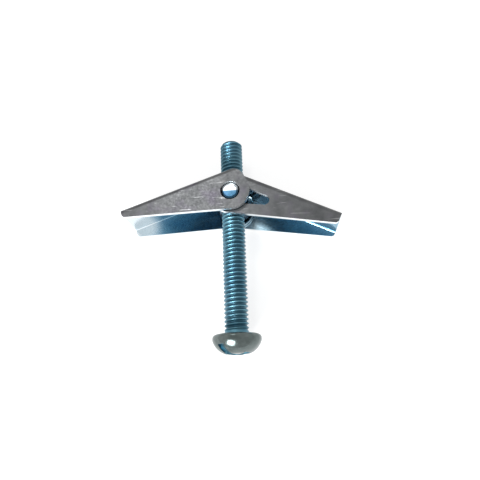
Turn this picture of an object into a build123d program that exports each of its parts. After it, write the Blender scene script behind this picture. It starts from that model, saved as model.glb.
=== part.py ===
from build123d import *
from math import sin, cos, radians, degrees, acos, asin, atan2, hypot
import os

# Spring toggle bolt, lying on its side, in millimetres.
# The screw lies along Y with its head towards -Y, and the wings' pivot pins lie along Z.
# The origin is where the screw's axis crosses the flat underside of its head.

# Machine screw
screw_d = 6.0
screw_length = 50.0
tip_chamfer = 0.6
head_d = 11.5
head_height = 4.5
head_rim = 1.3
head_shoulder_r = 3.0
head_under_fillet = 0.8
slot_width = 1.8
slot_depth = 2.2
cross_width = 1.6
cross_mouth = 7.0
cross_floor = 2.4
cross_depth = 3.0
drive_turn_deg = 130.0

# Trunnion nut
nut_from_tip = 16.6
nut_width = 8.2
nut_height = 7.0
nut_thickness = 7.1
nut_chamfer = 1.0
thread_clearance = 0.05
pin_d = 4.6
pin_end_round = 0.8
pin_recess = 0.25

# Wings: two stampings, alike but for the slot, each turned half round the screw from the other
sheet = 1.1
bend_inner_r = 0.3
wing_reach = 26.5
wing_overall = 14.16
wing_layer_gap = 0.2
web_height = 5.84
web_start = 1.75
ear_relief = 1.1
ear_relief_depth = 1.6
outer_ear_r = 4.7
inner_ear_r = 5.1
ear_crown_r = 3.6
ear_crown_back = 0.95
outer_tip_height = 2.5
inner_tip_height = 3.35
tip_corner_r = 0.9
pivot_clearance = 0.05
slot_play = 0.4
slot_end_r = 1.3
slot_reach = 8.3
left_open_deg = 19.0
right_open_deg = 27.0

# Torsion spring
wire_d = 0.5
coil_play = 0.15
coil_spacing = 0.02
spring_side_gap = 0.03
leg_reach = 12.0
leg_gap = 0.02

screw_r = screw_d / 2
pin_r = pin_d / 2
nut_y = screw_length - nut_from_tip
outer_face = wing_overall / 2
inner_face = outer_face - sheet - wing_layer_gap
under_web = web_height - sheet
slot_r = pin_r + slot_play


def machine_screw():
    head_r = head_d / 2
    crown_y = -head_height
    shoulder = (head_r - head_shoulder_r * 0.3, -(head_rim + head_shoulder_r * 0.55))
    crown_edge = (head_r * 0.5, crown_y * 0.96)
    outline = Curve() + [
        Line((0, 0), (head_r, 0)),
        Line((head_r, 0), (head_r, -head_rim)),
        ThreePointArc((head_r, -head_rim), shoulder, crown_edge),
        ThreePointArc(crown_edge, (head_r * 0.25, crown_y * 0.99), (0, crown_y)),
        Line((0, crown_y), (0, 0)),
    ]
    head = revolve(make_face(outline), Axis.Y)
    head = fillet(head.edges().filter_by(GeomType.CIRCLE).group_by(Axis.Y)[-1], head_under_fillet)
    shank = Pos(0, screw_length / 2, 0) * Rot(90, 0, 0) * Cylinder(screw_r, screw_length)
    shank = chamfer(shank.edges().group_by(Axis.Y)[-1], tip_chamfer)
    body = head + shank
    top = crown_y - 1
    slot = Pos(0, crown_y + slot_depth - 2, 0) * Box(head_d * 1.2, 4, slot_width)
    mouth_half = cross_mouth / 2
    floor_half = cross_floor / 2
    spread = (mouth_half - floor_half) / cross_depth
    flare = mouth_half + spread
    arm_outline = Polyline(
        (-flare, top), (flare, top), (floor_half, crown_y + cross_depth),
        (-floor_half, crown_y + cross_depth), close=True)
    arm = extrude(make_face(arm_outline), cross_width / 2, both=True)
    drive = slot + arm + Rot(0, 90, 0) * arm
    return body - Rot(0, -drive_turn_deg, 0) * drive


def trunnion_nut():
    block = Box(nut_width, nut_height, nut_thickness)
    block = chamfer(block.edges().filter_by(Axis.Z), nut_chamfer)
    pin = Cylinder(pin_r, 2 * (outer_face - pin_recess))
    pin = fillet(pin.edges().filter_by(GeomType.CIRCLE), pin_end_round)
    bore = Rot(90, 0, 0) * Cylinder(screw_r + thread_clearance, nut_height * 2)
    return Pos(0, nut_y, 0) * (block + pin - bore)


def belt(circles):
    # Outline of a belt pulled round circles (x, y, radius), listed anticlockwise; radius 0 is a corner
    pairs = list(zip(circles, circles[1:] + circles[:1]))
    normals = []
    for (x1, y1, r1), (x2, y2, r2) in pairs:
        span = hypot(x2 - x1, y2 - y1)
        normals.append(degrees(atan2(y2 - y1, x2 - x1) - acos((r1 - r2) / span)))
    edges = []
    for i, ((x1, y1, r1), (x2, y2, r2)) in enumerate(pairs):
        side = Vector(1, 0).rotate(Axis.Z, normals[i])
        edges.append(Line(Vector(x1, y1) + side * r1, Vector(x2, y2) + side * r2).edge())
        if r2:
            wrap = (normals[(i + 1) % len(pairs)] - normals[i]) % 360
            edges.append(CenterArc((x2, y2), r2, normals[i], wrap).edge())
    return make_face(edges)


def flange_outline(ear_r, tip_height):
    # Ear, crown and tip of one flange, seen along the pivot: x runs out along the web
    low_corner = web_height - tip_height + tip_corner_r
    return belt([
        (wing_reach, web_height, 0),
        (-ear_crown_back, web_height - ear_crown_r, ear_crown_r),
        (0, 0, ear_r),
        (wing_reach - tip_corner_r, low_corner, tip_corner_r),
    ])


def wing(slotted):
    # Outer flange at low z, inner flange at high z, which has a slot in place of the round pivot hole
    low = -outer_face
    high = inner_face
    back = -2 * outer_ear_r
    drop = 2 * inner_ear_r
    length = wing_reach - back
    mid_x = (wing_reach + back) / 2
    tall = web_height + drop
    skin = Pos(mid_x, web_height - tall / 2, (low + high) / 2) * Box(length, tall, high - low)
    skin = fillet(skin.edges().filter_by(Axis.X).group_by(Axis.Y)[-1], bend_inner_r + sheet)
    hollow = Pos(mid_x, under_web - tall / 2, (low + high) / 2) * Box(
        length + 2, tall, high - low - 2 * sheet)
    hollow = fillet(hollow.edges().filter_by(Axis.X).group_by(Axis.Y)[-1], bend_inner_r)
    channel = skin - hollow
    outer_part = extrude(flange_outline(outer_ear_r, outer_tip_height), -low)
    inner_part = extrude(flange_outline(inner_ear_r, inner_tip_height), high)
    shape = channel & (Pos(0, 0, low) * outer_part + inner_part)
    web_cut_depth = high - low - 2 * sheet
    web_cut = Pos((back + web_start) / 2, web_height, (low + high) / 2) * Box(
        web_start - back, 2 * sheet + 1, web_cut_depth)
    relief_end = web_start + ear_relief
    relief = Pos((back + relief_end) / 2, web_height, low + sheet + ear_relief_depth / 2) * Box(
        relief_end - back, 2 * sheet + 1, ear_relief_depth)
    hole = Cylinder(pin_r + pivot_clearance, 3 * sheet)
    shape = shape - web_cut - relief - Pos(0, 0, low) * hole
    if not slotted:
        return shape - Pos(0, 0, high) * hole
    slot_outline = belt([(0, 0, slot_r), (slot_reach, slot_r - slot_end_r, slot_end_r)])
    return shape - Pos(0, 0, high - 2 * sheet) * extrude(slot_outline, 3 * sheet)


def right_wing():
    return Pos(0, nut_y, 0) * Rot(0, 0, -right_open_deg) * wing(slotted=True)


def left_wing():
    return Pos(0, nut_y, 0) * Rot(0, 0, left_open_deg) * Rot(0, 180, 0) * wing(slotted=False)


def leg_geometry(open_deg):
    # Far end of a leg under its web, and the angle at which it leaves the coil, from the pivot
    coil_r = pin_r + coil_play + wire_d / 2
    height = under_web - wire_d / 2 - leg_gap
    reach = hypot(leg_reach, height)
    end_angle = atan2(height, leg_reach) - radians(open_deg)
    leave_angle = end_angle + radians(90) - asin(coil_r / reach)
    return reach, end_angle, leave_angle


def torsion_spring():
    # One close coil on the upper pin, with a straight leg under each web
    wire_r = wire_d / 2
    coil_r = pin_r + coil_play + wire_r
    pitch = wire_d + coil_spacing
    reach_r, end_r, leave_r = leg_geometry(right_open_deg)
    reach_l, end_l, leave_l = leg_geometry(left_open_deg)
    end_l = radians(180) - end_l
    leave_l = radians(180) - leave_l
    turn = leave_l - leave_r + radians(360)
    rise = pitch * turn / radians(360)
    top_z = inner_face - sheet - spring_side_gap - wire_r
    bottom_z = top_z - rise
    helix = Pos(0, 0, bottom_z) * Rot(0, 0, degrees(leave_r)) * Helix(pitch, rise, coil_r)
    ends = []
    for reach, angle, bend in ((reach_r, end_r, helix @ 0), (reach_l, end_l, helix @ 1)):
        ends.append(Vector(reach * cos(angle), reach * sin(angle), bend.Z))
    right_leg = Line(ends[0], helix @ 0)
    left_leg = Line(helix @ 1, ends[1])
    path = Wire([*right_leg.edges(), *helix.edges(), *left_leg.edges()])
    spring = sweep(Plane(origin=path @ 0, z_dir=path % 0) * Circle(wire_r), path, is_frenet=True)
    return Pos(0, nut_y, 0) * spring


os.makedirs("parts", exist_ok=True)
nodes = {
    "machine_screw": machine_screw(),
    "trunnion_nut": trunnion_nut(),
    "left_wing": left_wing(),
    "right_wing": right_wing(),
    "torsion_spring": torsion_spring(),
}
for name, shape in nodes.items():
    export_step(shape, f"parts/{name}.step")
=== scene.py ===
import bpy, bmesh, math
from mathutils import Vector, Matrix


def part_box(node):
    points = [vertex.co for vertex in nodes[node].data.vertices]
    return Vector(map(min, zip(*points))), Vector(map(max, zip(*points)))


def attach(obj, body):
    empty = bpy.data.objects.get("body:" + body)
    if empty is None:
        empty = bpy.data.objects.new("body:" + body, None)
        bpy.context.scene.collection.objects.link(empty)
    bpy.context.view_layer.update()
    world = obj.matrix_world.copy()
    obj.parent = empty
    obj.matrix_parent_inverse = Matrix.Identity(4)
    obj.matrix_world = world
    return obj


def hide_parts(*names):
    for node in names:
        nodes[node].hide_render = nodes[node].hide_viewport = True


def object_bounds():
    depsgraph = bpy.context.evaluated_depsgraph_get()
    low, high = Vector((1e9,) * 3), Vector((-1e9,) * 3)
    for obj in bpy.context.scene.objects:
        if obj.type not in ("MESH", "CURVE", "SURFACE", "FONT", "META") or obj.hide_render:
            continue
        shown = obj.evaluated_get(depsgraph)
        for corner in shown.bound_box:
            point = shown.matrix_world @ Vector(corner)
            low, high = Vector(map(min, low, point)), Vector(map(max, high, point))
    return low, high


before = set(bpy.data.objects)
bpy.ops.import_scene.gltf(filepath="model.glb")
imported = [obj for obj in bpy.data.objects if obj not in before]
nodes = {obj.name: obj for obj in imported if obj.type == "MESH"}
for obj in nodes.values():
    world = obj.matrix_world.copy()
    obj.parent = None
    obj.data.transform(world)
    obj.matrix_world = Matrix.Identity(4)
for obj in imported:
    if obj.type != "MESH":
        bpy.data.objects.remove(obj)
cadBox = [list(c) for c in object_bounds()]
mm = 0.001


def nodeBox(name):
    low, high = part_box(name)
    return Vector(low), Vector(high)


def linkObject(name, mesh):
    obj = bpy.data.objects.new(name, mesh)
    bpy.context.scene.collection.objects.link(obj)
    return obj


# shader helpers
def newTree(mat):
    mat.use_nodes = True
    tree = mat.node_tree
    tree.nodes.clear()
    out = tree.nodes.new("ShaderNodeOutputMaterial")
    bsdf = tree.nodes.new("ShaderNodeBsdfPrincipled")
    tree.links.new(bsdf.outputs[0], out.inputs[0])
    return tree, bsdf


lookColors = ("Light", "Dark", "Tint")
lookNumbers = ("Cloud Scale", "Grain Scale", "Roughness", "Roughness Spread", "Scratch Amount")
plateSizes = {"scratchScale": (240, 1900, 900), "scratchTurn": (0.3, 0.2, 0.9),
              "scratchColor": (0.85, 0.86, 0.88), "tintShare": 0.5, "scratchShare": 0.6, "scratchPolish": 0.1}


def plateGroup():
    # zinc plate: cloudy colour, faint rolling lines, pits and scratches from object coordinates
    group = bpy.data.node_groups.new("zincPlate", "ShaderNodeTree")
    face = group.interface
    face.new_socket(name="Vector", in_out="INPUT", socket_type="NodeSocketVector")
    for name in lookColors:
        face.new_socket(name=name, in_out="INPUT", socket_type="NodeSocketColor")
    for name in lookNumbers:
        face.new_socket(name=name, in_out="INPUT", socket_type="NodeSocketFloat")
    for name, kind in (("Color", "NodeSocketColor"), ("Roughness", "NodeSocketFloat"),
                       ("Height", "NodeSocketFloat")):
        face.new_socket(name=name, in_out="OUTPUT", socket_type=kind)
    n = group.nodes
    link = group.links.new
    inp = n.new("NodeGroupInput")
    out = n.new("NodeGroupOutput")

    def noise(scaleSocket, detail, rough):
        tex = n.new("ShaderNodeTexNoise")
        tex.inputs["Detail"].default_value = detail
        tex.inputs["Roughness"].default_value = rough
        link(inp.outputs["Vector"], tex.inputs["Vector"])
        link(inp.outputs[scaleSocket], tex.inputs["Scale"])
        return tex

    def ramp(source, low, high):
        r = n.new("ShaderNodeMapRange")
        r.inputs["From Min"].default_value = low
        r.inputs["From Max"].default_value = high
        link(source, r.inputs["Value"])
        return r.outputs["Result"]

    def math2(op, a, b):
        m = n.new("ShaderNodeMath")
        m.operation = op
        for i, v in enumerate((a, b)):
            if isinstance(v, (int, float)):
                m.inputs[i].default_value = v
            else:
                link(v, m.inputs[i])
        return m.outputs[0]

    def mix(fac, a, b):
        m = n.new("ShaderNodeMix")
        m.data_type = "RGBA"
        link(fac, m.inputs["Factor"])
        link(a, m.inputs["A"])
        link(b, m.inputs["B"])
        return m.outputs["Result"]

    cloud = noise("Cloud Scale", 5, 0.6)
    grain = noise("Grain Scale", 3, 0.6)
    cloudMask = ramp(cloud.outputs[0], 0.35, 0.65)
    grainMask = ramp(grain.outputs[0], 0.3, 0.7)
    tintNoise = n.new("ShaderNodeTexNoise")
    tintNoise.noise_dimensions = "4D"
    tintNoise.inputs["W"].default_value = 3.7
    tintNoise.inputs["Detail"].default_value = 2
    link(inp.outputs["Vector"], tintNoise.inputs["Vector"])
    link(inp.outputs["Cloud Scale"], tintNoise.inputs["Scale"])
    tintMask = ramp(tintNoise.outputs[0], 0.52, 0.72)

    # short scratches: noise stretched one way, cut to thin bright lines
    stretch = n.new("ShaderNodeMapping")
    stretch.inputs["Rotation"].default_value = plateSizes["scratchTurn"]
    stretch.inputs["Scale"].default_value = plateSizes["scratchScale"]
    link(inp.outputs["Vector"], stretch.inputs["Vector"])
    scratch = n.new("ShaderNodeTexNoise")
    scratch.inputs["Scale"].default_value = 1
    scratch.inputs["Detail"].default_value = 1
    link(stretch.outputs[0], scratch.inputs["Vector"])
    scratchMask = math2("MULTIPLY", ramp(scratch.outputs[0], 0.68, 0.78), inp.outputs["Scratch Amount"])

    base = mix(cloudMask, inp.outputs["Dark"], inp.outputs["Light"])
    tinted = mix(math2("MULTIPLY", tintMask, plateSizes["tintShare"]), base, inp.outputs["Tint"])
    bright = n.new("ShaderNodeMix")
    bright.data_type = "RGBA"
    bright.inputs["B"].default_value = (*plateSizes["scratchColor"], 1)
    link(math2("MULTIPLY", scratchMask, plateSizes["scratchShare"]), bright.inputs["Factor"])
    link(tinted, bright.inputs["A"])
    link(bright.outputs["Result"], out.inputs["Color"])
    spread = math2("MULTIPLY", math2("SUBTRACT", grainMask, 0.5), inp.outputs["Roughness Spread"])
    rough = math2("ADD", inp.outputs["Roughness"], spread)
    link(math2("SUBTRACT", rough, math2("MULTIPLY", scratchMask, plateSizes["scratchPolish"])), out.inputs["Roughness"])
    link(math2("SUBTRACT", grainMask, scratchMask), out.inputs["Height"])
    return group


zincPlate = plateGroup()


def plateNode(tree, coords, look):
    plate = tree.nodes.new("ShaderNodeGroup")
    plate.node_tree = zincPlate
    tree.links.new(coords.outputs["Object"], plate.inputs["Vector"])
    for key in lookColors:
        plate.inputs[key].default_value = (*look[key], 1)
    for key in lookNumbers:
        plate.inputs[key].default_value = look[key]
    return plate


def zincMaterial(name, look):
    mat = bpy.data.materials.new(name)
    tree, bsdf = newTree(mat)
    coords = tree.nodes.new("ShaderNodeTexCoord")
    plate = plateNode(tree, coords, look)
    bump = tree.nodes.new("ShaderNodeBump")
    bump.inputs["Strength"].default_value = look["Bump"]
    bump.inputs["Distance"].default_value = 0.00002
    tree.links.new(plate.outputs["Height"], bump.inputs["Height"])
    tree.links.new(plate.outputs["Color"], bsdf.inputs["Base Color"])
    tree.links.new(plate.outputs["Roughness"], bsdf.inputs["Roughness"])
    tree.links.new(bump.outputs[0], bsdf.inputs["Normal"])
    bsdf.inputs["Metallic"].default_value = 1.0
    return mat


# the edge settings paint a highlight on the cut edges that face the screw's head
wingMasks = {"flange": 0.9 * mm, "flangeSoft": 0.1 * mm, "facing": 0.4, "facingSoft": 0.15,
             "edgeFrom": -0.3, "edgeTo": -0.6, "edgeHighlightColor": (0.9, 0.92, 0.93)}


def wingMaterial(name, node, outerLook, innerLook, paintedReflection):
    # outer faces carry the satin look, and the faces inside the channel the blue, brighter plate
    low, high = nodeBox(node)
    mat = bpy.data.materials.new(name)
    tree, bsdf = newTree(mat)
    new = tree.nodes.new
    link = tree.links.new
    coords = new("ShaderNodeTexCoord")
    plates = [plateNode(tree, coords, look) for look in (outerLook, innerLook)]
    place = new("ShaderNodeSeparateXYZ")
    link(coords.outputs["Object"], place.inputs[0])
    facing = new("ShaderNodeSeparateXYZ")
    link(coords.outputs["Normal"], facing.inputs[0])
    masks = []
    for source, edge, sign, soft in (
            (place.outputs["Z"], high.z - wingMasks["flange"], -1, wingMasks["flangeSoft"]),
            (place.outputs["Z"], low.z + wingMasks["flange"], 1, wingMasks["flangeSoft"]),
            (facing.outputs["Y"], wingMasks["facing"], -1, wingMasks["facingSoft"])):
        step = new("ShaderNodeMapRange")
        step.inputs["From Min"].default_value = edge - sign * soft
        step.inputs["From Max"].default_value = edge + sign * soft
        link(source, step.inputs["Value"])
        masks.append(step.outputs["Result"])
    both = new("ShaderNodeMath")
    both.operation = "MULTIPLY"
    link(masks[0], both.inputs[0])
    link(masks[1], both.inputs[1])
    inside = new("ShaderNodeMath")
    inside.operation = "MULTIPLY"
    link(both.outputs[0], inside.inputs[0])
    link(masks[2], inside.inputs[1])
    # painted reflection: a pale area over part of the channel's length, placed by distance from the screw
    across = new("ShaderNodeMath")
    across.operation = "ABSOLUTE"
    link(place.outputs["X"], across.inputs[0])
    paintedReflectionMask = new("ShaderNodeMapRange")
    paintedReflectionMask.interpolation_type = "SMOOTHSTEP"
    paintedReflectionMask.inputs["From Min"].default_value = paintedReflection["From"]
    paintedReflectionMask.inputs["From Max"].default_value = paintedReflection["To"]
    link(across.outputs[0], paintedReflectionMask.inputs["Value"])
    pale = new("ShaderNodeMix")
    pale.data_type = "RGBA"
    pale.inputs["B"].default_value = (*paintedReflection["Pale"], 1)
    link(paintedReflectionMask.outputs["Result"], pale.inputs["Factor"])
    link(plates[1].outputs["Color"], pale.inputs["A"])
    color = new("ShaderNodeMix")
    color.data_type = "RGBA"
    link(inside.outputs[0], color.inputs["Factor"])
    link(plates[0].outputs["Color"], color.inputs["A"])
    link(pale.outputs["Result"], color.inputs["B"])
    # painted highlight: the cut edges that face the screw's head are painted bright, chosen by the way they face
    edgeHighlightStep = new("ShaderNodeMapRange")
    edgeHighlightStep.inputs["From Min"].default_value = wingMasks["edgeFrom"]
    edgeHighlightStep.inputs["From Max"].default_value = wingMasks["edgeTo"]
    link(facing.outputs["Y"], edgeHighlightStep.inputs["Value"])
    outer = new("ShaderNodeMath")
    outer.operation = "SUBTRACT"
    outer.inputs[0].default_value = 1
    link(both.outputs[0], outer.inputs[1])
    edgeHighlightMask = new("ShaderNodeMath")
    edgeHighlightMask.operation = "MULTIPLY"
    link(edgeHighlightStep.outputs["Result"], edgeHighlightMask.inputs[0])
    link(outer.outputs[0], edgeHighlightMask.inputs[1])
    edgeHighlighted = new("ShaderNodeMix")
    edgeHighlighted.data_type = "RGBA"
    edgeHighlighted.inputs["B"].default_value = (*wingMasks["edgeHighlightColor"], 1)
    link(edgeHighlightMask.outputs[0], edgeHighlighted.inputs["Factor"])
    link(color.outputs["Result"], edgeHighlighted.inputs["A"])
    rough = new("ShaderNodeMix")
    link(inside.outputs[0], rough.inputs["Factor"])
    link(plates[0].outputs["Roughness"], rough.inputs["A"])
    link(plates[1].outputs["Roughness"], rough.inputs["B"])
    bump = new("ShaderNodeBump")
    bump.inputs["Strength"].default_value = outerLook["Bump"]
    bump.inputs["Distance"].default_value = 0.00001
    link(plates[0].outputs["Height"], bump.inputs["Height"])
    link(edgeHighlighted.outputs["Result"], bsdf.inputs["Base Color"])
    link(rough.outputs["Result"], bsdf.inputs["Roughness"])
    link(bump.outputs[0], bsdf.inputs["Normal"])
    bsdf.inputs["Metallic"].default_value = 1.0
    return mat


screwLook = {"Light": (0.12, 0.252, 0.312), "Dark": (0.072, 0.18, 0.24), "Tint": (0.09, 0.198, 0.282),
             "Cloud Scale": 180, "Grain Scale": 2500, "Roughness": 0.36, "Roughness Spread": 0.06,
             "Scratch Amount": 0.03, "Bump": 0.04}
headLook = {"Light": (0.15, 0.174, 0.171), "Dark": (0.078, 0.096, 0.093), "Tint": (0.096, 0.138, 0.126),
            "Cloud Scale": 260, "Grain Scale": 2500, "Roughness": 0.2, "Roughness Spread": 0.1,
            "Scratch Amount": 0.1, "Bump": 0.15}
wingLook = {"Light": (0.118, 0.121, 0.124), "Dark": (0.077, 0.0798, 0.0825), "Tint": (0.099, 0.088, 0.116),
            "Cloud Scale": 320, "Grain Scale": 1800, "Roughness": 0.36, "Roughness Spread": 0.14,
            "Scratch Amount": 0.3, "Bump": 0.3}
innerLook = {"Light": (0.248, 0.408, 0.496), "Dark": (0.184, 0.336, 0.44), "Tint": (0.208, 0.352, 0.488),
             "Cloud Scale": 150, "Grain Scale": 1800, "Roughness": 0.2, "Roughness Spread": 0.1,
             "Scratch Amount": 0.2, "Bump": 0.3}
# painted shade: the pivot's very dark colours stand in for shade on its ends
nutLook = {"Light": (0.04, 0.09, 0.14), "Dark": (0.015, 0.045, 0.08), "Tint": (0.03, 0.07, 0.13),
           "Cloud Scale": 330, "Grain Scale": 3000, "Roughness": 0.2, "Roughness Spread": 0.06,
           "Scratch Amount": 0.05, "Bump": 0.08}
springLook = {"Light": (0.27, 0.276, 0.288), "Dark": (0.18, 0.186, 0.198), "Tint": (0.24, 0.228, 0.216),
              "Cloud Scale": 900, "Grain Scale": 4000, "Roughness": 0.3, "Roughness Spread": 0.1,
              "Scratch Amount": 0.1, "Bump": 0.2}
# painted shade: a darker plate for the faces inside the head's drive recess
recessShadeLook = {"Light": (0.10, 0.24, 0.30), "Dark": (0.04, 0.12, 0.17), "Tint": (0.06, 0.18, 0.24),
              "Cloud Scale": 700, "Grain Scale": 2500, "Roughness": 0.3, "Roughness Spread": 0.1,
              "Scratch Amount": 0.1, "Bump": 0.2}
recessShadeZinc = zincMaterial("recessShadeZinc", recessShadeLook)
screwZinc = zincMaterial("screwZinc", screwLook)
# painted shade for the thread's grooves, darker towards the root
grooves = {"root": 2.4 * mm, "crest": 2.8 * mm, "shade": 0.45, "rootShade": (0.01, 0.03, 0.05)}


def shadeGrooves(mat):
    # painted shade: the plate darkens towards the root of the thread
    tree = mat.node_tree
    new = tree.nodes.new
    link = tree.links.new
    bsdf = next(n for n in tree.nodes if n.type == "BSDF_PRINCIPLED")
    color = bsdf.inputs["Base Color"].links[0].from_socket
    coords = next(n for n in tree.nodes if n.type == "TEX_COORD")
    flat = new("ShaderNodeVectorMath")
    flat.operation = "MULTIPLY"
    flat.inputs[1].default_value = (1, 0, 1)
    link(coords.outputs["Object"], flat.inputs[0])
    radius = new("ShaderNodeVectorMath")
    radius.operation = "LENGTH"
    link(flat.outputs[0], radius.inputs[0])
    depth = new("ShaderNodeMapRange")
    depth.inputs["From Min"].default_value = grooves["root"]
    depth.inputs["From Max"].default_value = grooves["crest"]
    depth.inputs["To Min"].default_value = grooves["shade"]
    link(radius.outputs["Value"], depth.inputs["Value"])
    shaded = new("ShaderNodeMix")
    shaded.data_type = "RGBA"
    shaded.inputs["A"].default_value = (*grooves["rootShade"], 1)
    link(depth.outputs["Result"], shaded.inputs["Factor"])
    link(color, shaded.inputs["B"])
    link(shaded.outputs["Result"], bsdf.inputs["Base Color"])


shadeGrooves(screwZinc)
headZinc = zincMaterial("headZinc", headLook)
# painted reflections: pale areas inside each wing's channel, set by distance from the screw
leftPaintedReflection = {"From": 18.5 * mm, "To": 22.5 * mm, "Pale": (0.66, 0.73, 0.77)}
rightPaintedReflection = {"From": 10 * mm, "To": 5 * mm, "Pale": (0.5, 0.68, 0.78)}
leftZinc = wingMaterial("leftWingZinc", "left_wing", wingLook, innerLook, leftPaintedReflection)
rightZinc = wingMaterial("rightWingZinc", "right_wing", wingLook, innerLook, rightPaintedReflection)
nutZinc = zincMaterial("nutZinc", nutLook)
springSteel = zincMaterial("springSteel", springLook)


def paintPinHighlight(mat, node, look):
    # painted highlight and shade on the pivot's swaged ends: a bright facet on the tip's side of the axis, dark on the
    # head's side
    low, high = nodeBox(node)
    middle = (low.y + high.y) / 2
    tree = mat.node_tree
    new = tree.nodes.new
    link = tree.links.new
    bsdf = next(n for n in tree.nodes if n.type == "BSDF_PRINCIPLED")
    color = bsdf.inputs["Base Color"].links[0].from_socket
    coords = next(n for n in tree.nodes if n.type == "TEX_COORD")
    place = new("ShaderNodeSeparateXYZ")
    link(coords.outputs["Object"], place.inputs[0])
    pinHighlightStep = new("ShaderNodeMapRange")
    pinHighlightStep.inputs["From Min"].default_value = middle + look["From"]
    pinHighlightStep.inputs["From Max"].default_value = middle + look["To"]
    link(place.outputs["Y"], pinHighlightStep.inputs["Value"])
    lit = new("ShaderNodeMix")
    lit.data_type = "RGBA"
    lit.inputs["B"].default_value = (*look["Bright"], 1)
    link(pinHighlightStep.outputs["Result"], lit.inputs["Factor"])
    link(color, lit.inputs["A"])
    link(lit.outputs["Result"], bsdf.inputs["Base Color"])


paintPinHighlight(nutZinc, "trunnion_nut", {"From": -0.05 * mm, "To": 0.35 * mm, "Bright": (0.45, 0.48, 0.5)})


def paint(obj, mat):
    obj.data.materials.clear()
    obj.data.materials.append(mat)


for name, mat in (("left_wing", leftZinc), ("right_wing", rightZinc), ("trunnion_nut", nutZinc)):
    paint(nodes[name], mat)
print("materials done")

# the screw's sizes, from its CAD box
screwHigh = nodeBox("machine_screw")[1]
nutLow, nutHigh = nodeBox("trunnion_nut")
thread = {"Length": screwHigh.y, "Pitch": 1.0 * mm, "Depth": 0.48 * mm, "Radius": 2.88 * mm, "Neck": 0.5 * mm,
          "Chamfer": 0.6 * mm, "Around": 64, "Rings": 700}


def threadTree():
    # a cylinder whose side follows the flanks of a right-hand thread, laid along Y
    tree = bpy.data.node_groups.new("threadedShank", "GeometryNodeTree")
    for name in ("Length", "Pitch", "Depth", "Radius", "Neck", "Chamfer"):
        tree.interface.new_socket(name=name, in_out="INPUT", socket_type="NodeSocketFloat")
    for name in ("Around", "Rings"):
        tree.interface.new_socket(name=name, in_out="INPUT", socket_type="NodeSocketInt")
    tree.interface.new_socket(name="Material", in_out="INPUT", socket_type="NodeSocketMaterial")
    tree.interface.new_socket(name="Geometry", in_out="OUTPUT", socket_type="NodeSocketGeometry")
    new = tree.nodes.new
    link = tree.links.new
    inp = new("NodeGroupInput")
    size = inp.outputs

    def calc(op, a, b=None, c=None, clamp=False):
        m = new("ShaderNodeMath")
        m.operation = op
        m.use_clamp = clamp
        for i, v in enumerate((a, b, c)):
            if isinstance(v, (int, float)):
                m.inputs[i].default_value = v
            elif v is not None:
                link(v, m.inputs[i])
        return m.outputs[0]

    rod = new("GeometryNodeMeshCylinder")
    link(size["Around"], rod.inputs["Vertices"])
    link(size["Rings"], rod.inputs["Side Segments"])
    link(size["Radius"], rod.inputs["Radius"])
    link(size["Length"], rod.inputs["Depth"])
    place = new("GeometryNodeInputPosition")
    split = new("ShaderNodeSeparateXYZ")
    link(place.outputs[0], split.inputs[0])
    along = calc("ADD", split.outputs["Z"], calc("MULTIPLY", size["Length"], 0.5))
    turn = calc("DIVIDE", calc("ARCTAN2", split.outputs["Y"], split.outputs["X"]), 2 * math.pi)
    phase = calc("FRACT", calc("SUBTRACT", calc("DIVIDE", along, size["Pitch"]), turn))
    flank = calc("MULTIPLY_ADD", calc("COSINE", calc("MULTIPLY", phase, 2 * math.pi)), 0.5, 0.5)
    runIn = calc("DIVIDE", calc("SUBTRACT", along, size["Neck"]),
                 calc("MULTIPLY", size["Pitch"], 0.8), clamp=True)
    cut = calc("MULTIPLY", calc("MULTIPLY", size["Depth"], flank), runIn)
    tipRadius = calc("ADD", calc("SUBTRACT", size["Radius"], size["Chamfer"]),
                     calc("SUBTRACT", size["Length"], along))
    radius = calc("MINIMUM", calc("SUBTRACT", size["Radius"], cut), tipRadius)
    factor = calc("DIVIDE", radius, size["Radius"])
    # the rod stands on Z, so Y and Z change places to lay it along Y
    moved = new("ShaderNodeCombineXYZ")
    link(calc("MULTIPLY", split.outputs["X"], factor), moved.inputs["X"])
    link(along, moved.inputs["Y"])
    link(calc("MULTIPLY", calc("MULTIPLY", split.outputs["Y"], factor), -1), moved.inputs["Z"])
    setPlace = new("GeometryNodeSetPosition")
    link(rod.outputs["Mesh"], setPlace.inputs["Geometry"])
    link(moved.outputs[0], setPlace.inputs["Position"])
    smooth = new("GeometryNodeSetShadeSmooth")
    link(setPlace.outputs[0], smooth.inputs["Geometry"])
    link(rod.outputs["Side"], smooth.inputs["Shade Smooth"])
    real = new("GeometryNodeRealizeInstances")
    link(smooth.outputs[0], real.inputs[0])
    paintNode = new("GeometryNodeSetMaterial")
    link(real.outputs[0], paintNode.inputs["Geometry"])
    link(size["Material"], paintNode.inputs["Material"])
    out = new("NodeGroupOutput")
    link(paintNode.outputs[0], out.inputs[0])
    return tree


def growMesh(name, tree, values):
    # runs the tree on an empty mesh and keeps the result as a plain mesh
    seed = linkObject(name + "Seed", bpy.data.meshes.new(name + "Seed"))
    grow = seed.modifiers.new("grow", "NODES")
    grow.node_group = tree
    for item in tree.interface.items_tree:
        if item.in_out == "INPUT" and item.name in values:
            grow[item.identifier] = values[item.name]
    made = seed.evaluated_get(bpy.context.evaluated_depsgraph_get())
    mesh = bpy.data.meshes.new_from_object(made)
    mesh.name = name
    seed.modifiers.clear()
    bpy.data.objects.remove(seed)
    return mesh


threadSizes = {**thread, "Material": screwZinc}
shank = linkObject("threadedShank", growMesh("threadedShank", threadTree(), threadSizes))


headSizes = {"cutAbove": 0.3 * mm, "sharpFrom": 28}


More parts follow.
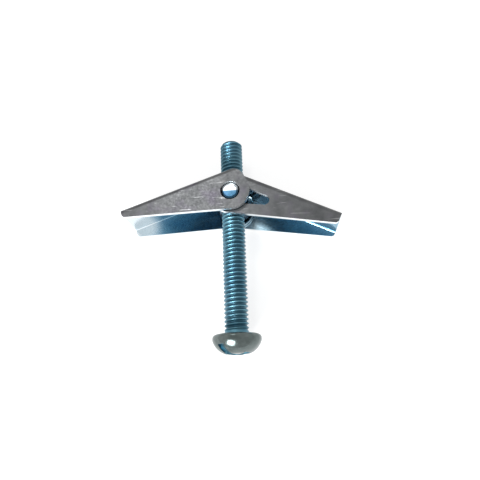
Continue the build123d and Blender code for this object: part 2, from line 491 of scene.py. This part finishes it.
def headMesh():
    # the CAD screw's head, cut off at the bearing face
    bm = bmesh.new()
    bm.from_mesh(nodes["machine_screw"].data)
    far = [v for v in bm.verts if v.co.y > headSizes["cutAbove"]]
    bmesh.ops.delete(bm, geom=far, context="VERTS")
    bmesh.ops.remove_doubles(bm, verts=bm.verts, dist=0.001 * mm)
    rims = [e for e in bm.edges if e.is_boundary]
    bmesh.ops.holes_fill(bm, edges=rims)
    bmesh.ops.recalc_face_normals(bm, faces=bm.faces)
    for f in bm.faces:
        f.smooth = True
    mesh = bpy.data.meshes.new("screwHead")
    bm.to_mesh(mesh)
    bm.free()
    return mesh


head = linkObject("screwHead", headMesh())
head.data.set_sharp_from_angle(angle=math.radians(headSizes["sharpFrom"]))
paint(head, headZinc)
head.data.materials.append(recessShadeZinc)
# painted shade: faces inside the drive recess take the darker second material
recess = {"floor": -2.6 * mm, "top": -0.05 * mm, "level": 0.98, "inward": 0.05}
for f in head.data.polygons:
    out = Vector((f.center.x, 0, f.center.z))
    inward = f.normal.dot(out.normalized()) < recess["inward"] and abs(f.normal.y) < recess["level"]
    flatFloor = f.normal.y < -recess["level"] and f.center.y > recess["floor"]
    if (inward and f.center.y < recess["top"]) or flatFloor:
        f.material_index = 1
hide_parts("machine_screw")
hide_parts("machine_screw")
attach(shank, "screw")
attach(head, "screw")
print("screw done")

# the spring in three parts: the coil goes with the nut's body and each leg with the body named after its wing
spring = {"coilReach": 3.3 * mm, "pivotY": (nutLow.y + nutHigh.y) / 2, "sharpFrom": 40}


def springPart(name, keep):
    bm = bmesh.new()
    bm.from_mesh(nodes["torsion_spring"].data)
    spare = []
    for f in bm.faces:
        reach = max(math.hypot(v.co.x, v.co.y - spring["pivotY"]) for v in f.verts)
        side = 0 if reach < spring["coilReach"] else math.copysign(1, f.calc_center_median().x)
        if side != keep:
            spare.append(f)
    bmesh.ops.delete(bm, geom=spare, context="FACES")
    bmesh.ops.remove_doubles(bm, verts=bm.verts, dist=0.001 * mm)
    bmesh.ops.holes_fill(bm, edges=[e for e in bm.edges if e.is_boundary])
    bmesh.ops.recalc_face_normals(bm, faces=bm.faces)
    for f in bm.faces:
        f.smooth = True
    mesh = bpy.data.meshes.new(name)
    bm.to_mesh(mesh)
    bm.free()
    mesh.set_sharp_from_angle(angle=math.radians(spring["sharpFrom"]))
    return linkObject(name, mesh)


for name, keep, body in (("springCoil", 0, "nut"), ("springLeftLeg", -1, "left_wing"),
                         ("springRightLeg", 1, "right_wing")):
    part = springPart(name, keep)
    paint(part, springSteel)
    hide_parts("torsion_spring")
    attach(part, body)
print("spring done")

def seenRays(tree):
    # 1 for camera, glossy and transmission rays, else 0
    path = tree.nodes.new("ShaderNodeLightPath")
    source = path.outputs["Is Camera Ray"]
    for name in ("Is Glossy Ray", "Is Transmission Ray"):
        either = tree.nodes.new("ShaderNodeMath")
        either.operation = "MAXIMUM"
        tree.links.new(source, either.inputs[0])
        tree.links.new(path.outputs[name], either.inputs[1])
        source = either.outputs[0]
    return source


# floor
studio = {"floorSize": 3, "floorColor": 0.5, "floorGlow": 0.75, "worldLight": 0.45, "worldShown": 1}
bpy.ops.mesh.primitive_plane_add(size=studio["floorSize"], location=(0, 0, cadBox[0][2]))
floor = bpy.context.object
floor.name = "floor"
floorMat = bpy.data.materials.new("floorWhite")
floorMat.use_nodes = True
floorTree = floorMat.node_tree
floorTree.nodes.clear()
floorOut = floorTree.nodes.new("ShaderNodeOutputMaterial")
matte = floorTree.nodes.new("ShaderNodeBsdfDiffuse")
matte.inputs["Color"].default_value = (*[studio["floorColor"]] * 3, 1)
glow = floorTree.nodes.new("ShaderNodeEmission")
glow.inputs["Strength"].default_value = studio["floorGlow"]
noGlow = floorTree.nodes.new("ShaderNodeEmission")
noGlow.inputs["Strength"].default_value = 0
glowPick = floorTree.nodes.new("ShaderNodeMixShader")
floorSum = floorTree.nodes.new("ShaderNodeAddShader")
floorTree.links.new(seenRays(floorTree), glowPick.inputs[0])
floorTree.links.new(noGlow.outputs[0], glowPick.inputs[1])
floorTree.links.new(glow.outputs[0], glowPick.inputs[2])
floorTree.links.new(glowPick.outputs[0], floorSum.inputs[0])
floorTree.links.new(matte.outputs[0], floorSum.inputs[1])
floorTree.links.new(floorSum.outputs[0], floorOut.inputs[0])
floor.data.materials.append(floorMat)

# world: white to the camera and in reflections, plain light otherwise
world = bpy.data.worlds.new("studio")
bpy.context.scene.world = world
world.use_nodes = True
worldTree = world.node_tree
background = worldTree.nodes["Background"]
background.inputs["Color"].default_value = (1, 1, 1, 1)
background.inputs["Strength"].default_value = studio["worldLight"]
shown = worldTree.nodes.new("ShaderNodeBackground")
shown.inputs["Color"].default_value = (1, 1, 1, 1)
shown.inputs["Strength"].default_value = studio["worldShown"]
worldPick = worldTree.nodes.new("ShaderNodeMixShader")
worldTree.links.new(seenRays(worldTree), worldPick.inputs[0])
worldTree.links.new(background.outputs[0], worldPick.inputs[1])
worldTree.links.new(shown.outputs[0], worldPick.inputs[2])
worldTree.links.new(worldPick.outputs[0], worldTree.nodes["World Output"].inputs["Surface"])


def softLight(name, place, target, size, watts, color):
    data = bpy.data.lights.new(name, "AREA")
    data.shape = "RECTANGLE"
    data.size, data.size_y = size
    data.energy = watts
    data.color = color
    lamp = bpy.data.objects.new(name, data)
    bpy.context.scene.collection.objects.link(lamp)
    lamp.location = place
    lamp.rotation_euler = (Vector(target) - Vector(place)).to_track_quat("-Z", "Y").to_euler()
    return lamp


pivot = Vector((0, (nutLow.y + nutHigh.y) / 2, 0))
lamps = {"key": {"place": (-0.07, 0.19, 0.32), "size": (0.09, 0.09), "watts": 0.2, "color": (1, 1, 1)},
         "front": {"place": (-0.10, -0.22, 0.14), "size": (0.12, 0.12), "watts": 1.4, "color": (0.95, 0.98, 1)}}
for name, lamp in lamps.items():
    softLight(name, lamp["place"], pivot, lamp["size"], lamp["watts"], lamp["color"])

# camera: distance, direction and roll about the pivot
view = {"distance": 108.735 * mm, "elevation": 70.221, "azimuth": 12.241, "roll": -15.025,
        "aimX": 1.482 * mm, "aimY": -10.361 * mm, "focal": 439.444,
        "frame": 480, "sensor": 36, "nearest": 0.005}
elev = math.radians(view["elevation"])
azim = math.radians(view["azimuth"])
toward = Vector((math.sin(azim) * math.cos(elev), -math.cos(azim) * math.cos(elev), math.sin(elev)))
aim = pivot + Vector((view["aimX"], view["aimY"], 0))
camData = bpy.data.cameras.new("camera")
camData.sensor_width = view["sensor"]
camData.lens = view["focal"] / view["frame"] * camData.sensor_width
camData.clip_start = view["nearest"]
camera = bpy.data.objects.new("camera", camData)
bpy.context.scene.collection.objects.link(camera)
right = (-toward).cross(Vector((0, 0, 1))).normalized()
up = right.cross(-toward)
roll = math.radians(view["roll"])
camRight = right * math.cos(roll) + up * math.sin(roll)
camUp = up * math.cos(roll) - right * math.sin(roll)
turn = Matrix((camRight, camUp, toward)).transposed()
camera.matrix_world = Matrix.Translation(aim + toward * view["distance"]) @ turn.to_4x4()
bpy.context.scene.camera = camera
bpy.context.scene.view_settings.view_transform = "Standard"
print("stage done")
